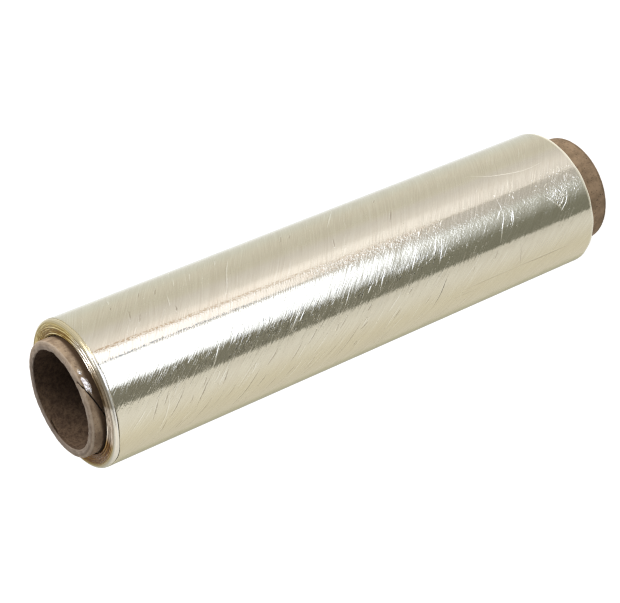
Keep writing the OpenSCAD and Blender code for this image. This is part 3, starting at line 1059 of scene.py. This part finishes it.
        # brown and grey specks along two lines of crinkles, and brown specks between them lower down: the crinkles are
        # in the mesh, the specks are painted reflection of the light panel's brown upper trim and of the dark bar
        # across it
        phi, zm = n.mul(n.math("ARCTAN2", y, x), 180 / math.pi), n.mul(z, 1000.0)
        first = n.curve(zm, [(20, -74.8), (110, -74.6), (135, -74.2), (168, -73.1), (204, -71.6), (226, -70.9), (248, -70.3), (270, -69.4), (292, -68.5), (315, -68.0)])
        second = n.curve(zm, [(160, -79.0), (190, -79.1), (204, -79.0), (226, -78.5), (248, -78.0), (270, -77.4), (315, -77.5)])
        specks = n.noise(n.scaled(at, (1250, 1250, 900)), 1.0, 2.0, 0.6)
        dashes = n.noise(n.scaled(at, (1100, 1100, 620)), 1.0, 2.0, 0.6)
        dots = n.noise(n.scaled(at, (1350, 1350, 700)), 1.0, 2.0, 0.6)
        one = n.mul(n.mul(n.line(phi, first, 1.7), n.ramp(dots, 0.46, 0.54)), n.curve(zm, [(100, 0.0), (125, 0.25), (190, 0.50), (250, 0.72), (300, 0.90), (315, 0.95)]))
        col = n.mix(one, col, (0.475, 0.372, 0.222))
        two = n.mul(n.mul(n.line(phi, second, 1.0), n.ramp(dashes, 0.46, 0.56)), n.ramp(zm, 190, 265))
        col = n.mix(two, col, (0.31, 0.31, 0.245))
        low = n.mul(n.mul(n.line(phi, -77.0, 4.2), n.ramp(specks, 0.50, 0.60)), n.band(zm, 108, 130, 185, 210))
        col = n.mix(n.mul(low, 0.6), col, (0.50, 0.375, 0.225))
        rim = n.attribute("rim")
        col = n.mix(rim, col, (0.98, 0.93, 0.77))
        n.put(shader.inputs["Metallic"], n.ramp(rim, 0.0, 0.6, metal, 0.05, smooth=False))
    n.put(shader.inputs["Base Color"], col)
    if part == "scrap":
        shader.inputs["Roughness"].default_value = 0.22
    else:
        n.put(shader.inputs["Roughness"], n.ramp(streak, 0.3, 0.7, 0.060, 0.095, smooth=False))
    shader.inputs["IOR"].default_value = 1.5
    if part == "scrap":
        b = n.bump(grain, 0.00012, 1.0)
    else:
        rise_ = n.math("MULTIPLY_ADD", lines, 0.24, streak)
        if part == "wall":
            rise_ = n.mul(rise_, n.attribute("streaky"))
        b = n.bump(rise_, 0.000048, 1.0)
    if part == "ends":
        b = n.bump(rings_, 0.00008, 0.6, b)
    if part == "wall":
        b = n.bump(n.mul(grain, n.attribute("crinkle")), 0.00017, 1.0, b)
    n.put(shader.inputs["Normal"], b)
    return mat


def board_material(name):
    mat, n, shader = material(name)
    at = n.new("ShaderNodeTexCoord").outputs["Object"]
    x, y, z = n.split(at)
    rad = n.math("SQRT", n.add(n.mul(x, x), n.mul(y, y)))
    dark_, cut_ = n.attribute("dark"), n.attribute("cut")
    cloud = n.noise(n.scaled(at, (150, 150, 150)), 1.0, 4.0, 0.6)
    fibre = n.noise(n.scaled(at, (800, 800, 2000)), 1.0, 3.0, 0.6)
    speck = n.noise(n.scaled(at, (1100, 1100, 1100)), 1.0, 2.0, 0.5)
    fleck = n.noise(n.scaled(at, (420, 420, 420)), 1.0, 3.0, 0.65)
    pale = n.mix(n.ramp(cloud, 0.36, 0.64), (0.215, 0.150, 0.096), (0.405, 0.302, 0.205))
    pale = n.mix(n.ramp(fibre, 0.35, 0.75, 0.0, 0.5), pale, (0.28, 0.200, 0.132))
    pale = n.mix(n.ramp(fleck, 0.54, 0.66, 0.0, 0.50), pale, (0.15, 0.100, 0.062))
    pale = n.mix(n.ramp(fleck, 0.44, 0.33, 0.0, 0.40), pale, (0.44, 0.335, 0.235))
    # the lower end is browner
    pale = n.mix(n.ramp(z, 0.060, 0.030, 0.0, 1.0), pale, n.mix(n.ramp(cloud, 0.34, 0.66), (0.19, 0.130, 0.075), (0.30, 0.210, 0.130)))
    # bore: its lining painted much darker than the outside board, painted shade inside the tube
    mottle = n.math("MULTIPLY_ADD", speck, 0.35, n.math("MULTIPLY_ADD", fleck, 0.45, n.mul(cloud, 0.20)))
    bore = n.mix(n.ramp(mottle, 0.38, 0.64), (0.066, 0.039, 0.025), (0.176, 0.116, 0.072))
    # painted shade: darker on the upper side and further in
    bore = n.mix(n.mul(n.ramp(x, -0.016, 0.012), n.ramp(z, 0.322, 0.296)), bore, (0.037, 0.020, 0.013))
    in_bore = n.ramp(rad, 0.02520, 0.02545, 1.0, 0.0)
    col = n.mix(in_bore, pale, bore)
    # cut faces
    grey = n.mix(n.ramp(cloud, 0.36, 0.64), (0.25, 0.195, 0.150), (0.38, 0.305, 0.240))
    # painted shade: the cut face darker towards +Y
    grey = n.mix(n.ramp(y, 0.004, 0.024, 0.0, 0.6), grey, (0.17, 0.135, 0.115))
    col = n.mix(cut_, col, grey)
    # the outer rim is painted paler: wear where the board is rubbed, and a painted highlight along the rounded edge
    col = n.mix(n.mul(n.band(cut_, 0.12, 0.30, 0.42, 0.60), 0.55), col, (0.46, 0.37, 0.28))
    # dark specks
    spot = n.ramp(speck, 0.62, 0.70)
    spot = n.mul(spot, n.ramp(z, 0.060, 0.030, 0.45, 0.95))
    col = n.mix(spot, col, (0.07, 0.045, 0.03))
    # shade in the seam, the slit and the corner at the film
    col = n.mix(n.ramp(dark_, 0.0, 1.0, 0.0, 1.0, smooth=False), col, (0.064, 0.038, 0.020))
    col = n.mix(n.ramp(dark_, 1.0, 1.6), col, (0.006, 0.004, 0.003))
    n.put(shader.inputs["Base Color"], col)
    n.put(shader.inputs["Roughness"], n.ramp(cloud, 0.3, 0.7, 0.78, 0.92))
    shader.inputs["Specular IOR Level"].default_value = 0.3
    b = n.bump(fibre, 0.00008, 0.7)
    b = n.bump(cloud, 0.00020, 0.6, b)
    n.put(shader.inputs["Normal"], b)
    return mat


outer.data.materials.append(film_material("stretch_film_wall"))
tuck_piece.data.materials.append(film_material("stretch_film_tucks", "tucks"))
faint_piece.data.materials.append(film_material("stretch_film_faint_tucks", "faint"))
wind.data.materials.append(film_material("stretch_film_ends", "ends"))
scrap_piece.data.materials.append(film_material("stretch_film_scrap", "scrap"))
tube.data.materials.append(board_material("spiral_paperboard"))

for piece in (outer, tuck_piece, faint_piece, wind, scrap_piece):
    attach(piece, "root")
    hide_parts("film_roll")
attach(tube, "root")
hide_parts("core_tube")


# ---------------------------------------------------------------- floor
def floor():
    obj = grid_object("floor", [(-6000, -6000, 0), (6000, -6000, 0), (6000, 6000, 0), (-6000, 6000, 0)], [[0, 1, 2, 3]])
    mat, n, shader = material("floor_pale")
    at = n.new("ShaderNodeTexCoord").outputs["Object"]
    n.put(shader.inputs["Base Color"], n.mix(n.noise(at, 3.0), (0.30, 0.30, 0.30), (0.32, 0.32, 0.32)))
    shader.inputs["Roughness"].default_value = 0.9
    shader.inputs["Specular IOR Level"].default_value = 0.0
    shader.inputs["Emission Color"].default_value = (1, 1, 1, 1)
    shader.inputs["Emission Strength"].default_value = 0.95
    obj.data.materials.append(mat)
    obj.visible_glossy = False
    return obj


floor()


# ---------------------------------------------------------------- studio light
def studio():
    """A soft white room. Upright light panels and a dark gap stand round the roll, and show only in gloss.

    Panels lean a little, so their edges are given against lean, a length in mm that falls
    from 320 for level sight lines to 0 for steep ones."""
    world = bpy.data.worlds.new("studio")
    bpy.context.scene.world = world
    world.use_nodes = True
    world.node_tree.nodes.clear()
    n = Nodes(world.node_tree)
    x, y, z = n.split(n.new("ShaderNodeTexCoord").outputs["Generated"])
    # bearing in degrees, 0 towards -Y and growing towards +X
    bear = n.mul(n.math("ARCTAN2", x, n.mul(y, -1.0)), 180 / math.pi)
    flat = n.math("SQRT", n.add(n.mul(x, x), n.mul(y, y)))
    rise = n.math("DIVIDE", z, n.math("MAXIMUM", flat, 0.001))
    lean = n.math("MULTIPLY_ADD", rise, 780.0, 653.4)

    # the room round about, by bearing
    level = n.curve(bear, [(-180, 1.45), (-178, 0.95), (-174, 0.64), (-168, 0.50), (-162, 0.41), (-156, 0.45), (-148, 0.54), (-140, 0.72), (-124, 0.77), (-108, 0.82), (-92, 0.90), (-76, 1.01), (-60, 1.03), (-50, 0.97), (0, 0.92), (50, 0.94), (60, 0.79), (68, 0.66), (76, 0.58), (84, 0.52), (92, 0.51), (100, 0.54), (116, 0.60), (132, 0.64), (140, 0.68), (148, 0.75), (156, 0.96), (162, 0.99), (168, 1.02), (176, 1.40), (180, 1.45)])
    left = n.curve(lean, [(20, -0.14), (70, -0.12), (110, -0.09), (190, -0.06), (270, -0.055), (300, 0.0)])
    right = n.curve(lean, [(20, 0.10), (70, 0.10), (110, 0.05), (150, 0.03), (190, 0.0)])
    shift = n.add(n.mul(n.band(bear, -130, -84, -44, -40), left), n.mul(n.band(bear, 68, 82, 135, 155), right))
    shift = n.add(shift, n.mul(n.mul(n.band(bear, -57, -51, -44, -40), n.ramp(lean, 290, 250)), -0.05))
    level = n.mul(level, n.add(1.0, shift))
    room = n.mix(n.ramp(bear, -105, -60), n.tint((1.05, 1.0, 0.92), level), n.tint((1.00, 1.0, 1.09), level))
    room = n.mix(n.ramp(bear, -135, -150), room, n.tint((1.03, 1.0, 0.78), level))
    room = n.mix(n.ramp(bear, 40, 50), room, n.tint((1.03, 1.0, 1.18), level))
    room = n.mix(n.ramp(bear, 70, 85), room, n.tint((1.03, 1.0, 1.03), level))
    room = n.mix(n.ramp(bear, 105, 135), room, n.tint((0.96, 1.0, 1.06), level))
    room = n.mix(n.ramp(n.math("ABSOLUTE", bear), 164, 176), room, n.tint((0.98, 1.0, 1.15), level))

    # dark gap, with the main panel standing in it
    gap_lo = n.curve(lean, [(0, -46.6), (20, -46.0), (100, -44.1), (315, -42.7)])
    edge_up = n.curve(lean, [(20, 29.2), (168, 33.5), (190, 36.3), (214, 38.0), (245, 39.3), (270, 41.2), (292, 43.6), (315, 44.4)])
    mid_line = n.curve(lean, [(150, 23.0), (190, 22.6), (214, 22.4), (246, 23.4), (270, 24.7), (315, 25.0)])
    in_gap = n.mul(n.edge(bear, gap_lo, 1.7), n.sub(1.0, n.edge(bear, edge_up, 1.6)))
    out = n.mix(in_gap, room, n.mix(n.ramp(lean, 110, 190), (0.026, 0.036, 0.014), (0.030, 0.032, 0.018)))

    # warm spill above the panel's upper edge
    warm = n.curve(lean, [(20, 0.84), (50, 0.97), (80, 1.08), (110, 1.15), (160, 1.30), (200, 1.40), (230, 1.36), (260, 1.18), (285, 0.98), (315, 0.92)])
    spill = n.mul(n.edge(bear, edge_up, 1.6), n.ramp(bear, 45, 57, 1.0, 0.0))
    out = n.mix(spill, out, n.mix(n.ramp(lean, 200, 280), n.tint((1.02, 1.0, 1.20), warm), n.tint((1.09, 1.0, 1.16), warm)))

    # upper part of the panel, between its edge and the bar across it
    upper = n.curve(lean, [(20, 0.44), (70, 0.46), (110, 0.53), (140, 0.67), (160, 0.86), (180, 1.20), (200, 1.42), (250, 1.55), (290, 1.75), (315, 1.85)])
    soft_lo = n.curve(lean, [(20, 7.0), (120, 8.0), (150, 14.0), (180, 21.0), (200, 21.5)])
    part = n.mul(n.ramp(bear, n.sub(soft_lo, 4.0), n.add(soft_lo, 4.0)), n.sub(1.0, n.edge(bear, edge_up, 1.6)))
    out = n.mix(part, out, n.mix(n.ramp(lean, 230, 300), n.tint((1.02, 1.0, 1.22), upper), n.tint((0.97, 1.0, 1.35), upper)))

    # lower and brighter part, whose foot fades out
    main = n.curve(lean, [(20, 0.55), (50, 0.58), (80, 0.76), (110, 1.00), (140, 1.45), (160, 1.95), (180, 2.5), (200, 2.8), (315, 2.8)])
    lo0 = n.curve(lean, [(20, -21.0), (60, -20.5), (110, -20.3), (150, -19.2), (190, -19.8), (230, -17.5), (270, -16.2), (315, -15.6)])
    lo1 = n.curve(lean, [(20, 6.0), (110, 6.0), (150, 9.5), (170, 5.0), (190, -1.0), (230, -7.5), (270, -8.8), (315, -9.0)])
    hi0 = n.curve(lean, [(20, 4.0), (150, 4.0), (175, 8.0), (200, 18.0), (227, 22.0), (270, 24.0), (315, 24.2)])
    hi1 = n.curve(lean, [(20, 16.0), (150, 18.0), (175, 21.0), (200, 23.0), (227, 24.0), (270, 25.6), (315, 25.8)])
    part = n.mul(n.ramp(bear, lo0, lo1, smooth=False), n.ramp(bear, hi0, hi1, 1.0, 0.0))
    out = n.mix(part, out, n.mix(n.ramp(lean, 90, 160), n.tint((0.92, 1.0, 1.21), main), n.tint((0.90, 1.0, 1.38), main)))

    # thin bars: one across the panel, one along its upper edge
    weave = n.noise(n.joined(n.mul(bear, 0.60), n.mul(lean, 0.36)), 1.0, 2.0, 0.6)
    speck = n.ramp(weave, 0.44, 0.56)
    bar = n.mul(n.line(bear, mid_line, 2.6), n.ramp(lean, 180, 205))
    out = n.mix(n.mul(bar, n.ramp(speck, 0.0, 1.0, 0.25, 1.0)), out, (0.08, 0.10, 0.11))
    trim = n.mul(n.line(bear, n.sub(edge_up, 1.0), 4.2), n.curve(lean, [(20, 0.0), (150, 0.30), (180, 0.85), (270, 0.95), (315, 0.90)]))
    trim = n.mul(trim, n.ramp(speck, 0.0, 1.0, 0.12, 1.0))
    out = n.mix(trim, out, n.mix(n.ramp(lean, 240, 300), (0.34, 0.235, 0.125), (0.44, 0.315, 0.185)))

    # overhead: dim, darker over the gap, with a soft box towards the front right
    sky = n.curve(bear, [(-180, 0.45), (-150, 0.50), (-128, 0.85), (-112, 1.10), (-74, 1.10), (-62, 0.35), (-50, 0.12), (8, 0.12), (36, 0.20), (47, 0.52), (105, 0.60), (120, 0.45), (180, 0.45)])
    high = n.mix(n.mul(n.band(bear, -140, -115, -72, -60), 1.0), n.tint((1.0, 0.98, 0.94), sky), n.tint((1.06, 1.0, 0.94), sky))
    over = n.mul(n.band(bear, 42, 50, 71, 80), n.band(rise, 0.45, 0.8, 5.0, 9.0))
    high = n.mix(over, high, (6.5, 6.5, 6.9))
    out = n.mix(n.ramp(rise, 0.05, 0.35), out, high)

    path = n.new("ShaderNodeLightPath")
    # what lights matt surfaces: brighter from +X, darker from -X and from the front
    side = n.ramp(n.add(n.mul(x, 0.85), n.add(n.mul(y, 0.30), n.mul(z, 0.40))), -0.9, 0.9, 0.12, 0.95)
    grey = n.tint((1.0, 1.0, 1.0), side)
    seen = n.mix(path.outputs["Is Camera Ray"], grey, (1.0, 1.0, 1.0))
    final = n.mix(path.outputs["Is Glossy Ray"], seen, out)
    bg = n.new("ShaderNodeBackground")
    n.put(bg.inputs["Color"], final)
    end = n.new("ShaderNodeOutputWorld")
    world.node_tree.links.new(bg.outputs[0], end.inputs["Surface"])
    world.cycles.sampling_method = "NONE"


studio()


def soft_light(name, towards, distance, size, power, colour=(1, 1, 1)):
    light = bpy.data.lights.new(name, "AREA")
    light.shape = "DISK"
    light.size = size
    light.energy = power
    light.color = colour
    obj = bpy.data.objects.new(name, light)
    d = Vector(towards).normalized()
    obj.location = Vector((0, 0, 0.2)) + d * distance
    obj.rotation_euler = d.to_track_quat("Z", "Y").to_euler()
    obj.visible_glossy = False
    bpy.context.collection.objects.link(obj)
    return obj


soft_light("key_soft", (0.80, -0.38, 0.36), 1.6, 0.9, 13.0)

scene = bpy.context.scene
scene.view_settings.view_transform = "Standard"
scene.view_settings.look = "None"
scene.cycles.use_denoising = True
scene.cycles.max_bounces = 8
scene.cycles.filter_width = 1.3
